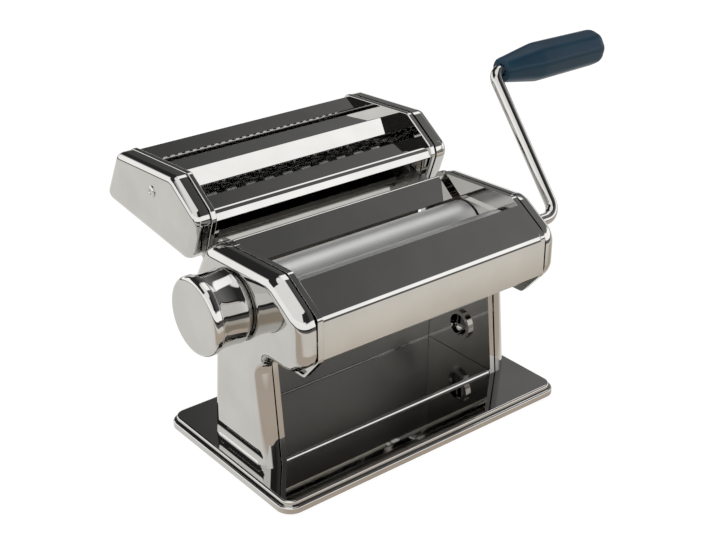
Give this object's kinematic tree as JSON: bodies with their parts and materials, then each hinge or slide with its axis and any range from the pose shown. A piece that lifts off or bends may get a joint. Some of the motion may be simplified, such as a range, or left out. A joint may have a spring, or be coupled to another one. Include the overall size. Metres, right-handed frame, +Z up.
{
  "type": "pasta machine",
  "caption": "Hand cranked pasta machine with smooth rollers between bright steel side covers, a thickness knob, a crank with a tapered grip and a lift-off cutter head.",
  "frame": {"origin": "middle of the base on the table, in the plane of the feet's undersides", "axes": "+X along the rollers towards the crank, +Y towards the back with the cutter head, +Z up"},
  "size_m": [0.3206, 0.1887, 0.189],
  "materials": {
    "polished_steel": "mirror polished",
    "roller_steel": "fine ground",
    "plain_steel": "satin",
    "bearing_plastic": "satin",
    "grip_plastic": "semi gloss",
    "foot_rubber": "matte"
  },
  "bodies": {
    "frame": {"base_tray": "polished_steel", "rubber_feet": "foot_rubber", "left_frame_plate": "polished_steel", "right_frame_plate": "polished_steel", "left_side_cover": "polished_steel", "right_side_cover": "polished_steel", "front_guard": "polished_steel", "feed_guard": "polished_steel", "pasta_slide": "polished_steel", "head_tie_rods": "plain_steel", "roller_bushes": "bearing_plastic", "roller_scrapers": "plain_steel", "roller_cheeks": "plain_steel", "seat_brackets": "plain_steel", "index_plate": "plain_steel"},
    "carrier": {"adjuster_bushes": "bearing_plastic"},
    "drive": {"front_roller": "roller_steel", "front_roller_gear": "plain_steel"},
    "rear": {"rear_roller": "roller_steel", "rear_roller_gear": "plain_steel"},
    "crank": {"crank_rod": "polished_steel", "grip_rivet": "plain_steel"},
    "grip": {"crank_grip": "grip_plastic"},
    "spindle": {"knob_spindle": "plain_steel", "spindle_retainer": "plain_steel"},
    "knob": {"knob_body": "polished_steel", "knob_cap": "polished_steel", "index_pin": "plain_steel"},
    "cutter": {"cutter_left_plate": "polished_steel", "cutter_right_plate": "polished_steel", "cutter_left_cover": "polished_steel", "cutter_right_cover": "polished_steel", "cutter_front_panel": "polished_steel", "cutter_front_plate": "polished_steel", "cutter_middle_panel": "polished_steel", "cutter_rear_panel": "polished_steel", "cutter_tie_rods": "plain_steel", "cutter_seat_rods": "plain_steel", "cutter_cover_screws": "polished_steel", "wide_combs": "bearing_plastic", "fine_combs": "bearing_plastic"},
    "wide_front": {"wide_cutter_front": "roller_steel", "wide_front_gear": "plain_steel"},
    "wide_rear": {"wide_cutter_rear": "roller_steel", "wide_rear_gear": "plain_steel"},
    "fine_front": {"fine_cutter_front": "roller_steel", "fine_front_gear": "plain_steel"},
    "fine_rear": {"fine_cutter_rear": "roller_steel", "fine_rear_gear": "plain_steel"}
  },
  "joints": [
    {"name": "crank_spin", "type": "hinge", "parent": "frame", "child": "drive", "pos_m": [0, -0.031, 0.1037], "axis": [1, 0, 0], "continuous": true},
    {"name": "crank_pull", "type": "slide", "parent": "drive", "child": "crank", "axis": [1, 0, 0], "range_m": [0, 0.032]},
    {"name": "grip_spin", "type": "hinge", "parent": "crank", "child": "grip", "pos_m": [0, 0.02677, 0.17658], "axis": [1, 0, 0], "continuous": true},
    {"name": "roller_adjust", "type": "slide", "parent": "frame", "child": "carrier", "axis": [0, 1, 0], "range_m": [-0.00091, 0.00182]},
    {"name": "rear_spin", "type": "hinge", "parent": "carrier", "child": "rear", "pos_m": [0, 0, 0.0995], "axis": [1, 0, 0], "continuous": true},
    {"name": "knob_turn", "type": "hinge", "parent": "frame", "child": "spindle", "pos_m": [0, 0, 0.0995], "axis": [1, 0, 0], "range_deg": [-56.7, 113.4]},
    {"name": "knob_pull", "type": "slide", "parent": "spindle", "child": "knob", "axis": [-1, 0, 0], "range_m": [0, 0.0035], "stiffness_N_per_m": 600, "springref_m": -0.01},
    {"name": "cutter_lift", "type": "slide", "parent": "frame", "child": "cutter", "axis": [0, 0, 1], "range_m": [0, 0.05]},
    {"name": "wide_spin", "type": "hinge", "parent": "cutter", "child": "wide_front", "pos_m": [0, 0.0519, 0.124], "axis": [1, 0, 0], "continuous": true},
    {"name": "wide_rear_spin", "type": "hinge", "parent": "cutter", "child": "wide_rear", "pos_m": [0, 0.0697, 0.124], "axis": [1, 0, 0], "continuous": true},
    {"name": "fine_spin", "type": "hinge", "parent": "cutter", "child": "fine_front", "pos_m": [0, 0.0898, 0.128], "axis": [1, 0, 0], "continuous": true},
    {"name": "fine_rear_spin", "type": "hinge", "parent": "cutter", "child": "fine_rear", "pos_m": [0, 0.1076, 0.128], "axis": [1, 0, 0], "continuous": true}
  ],
  "couplings": [
    {"joint": "rear_spin", "follows": "crank_spin", "ratio": -1},
    {"joint": "knob_turn", "follows": "roller_adjust", "rad_per_m": 1087},
    {"joint": "wide_rear_spin", "follows": "wide_spin", "ratio": -1},
    {"joint": "fine_rear_spin", "follows": "fine_spin", "ratio": -1}
  ]
}
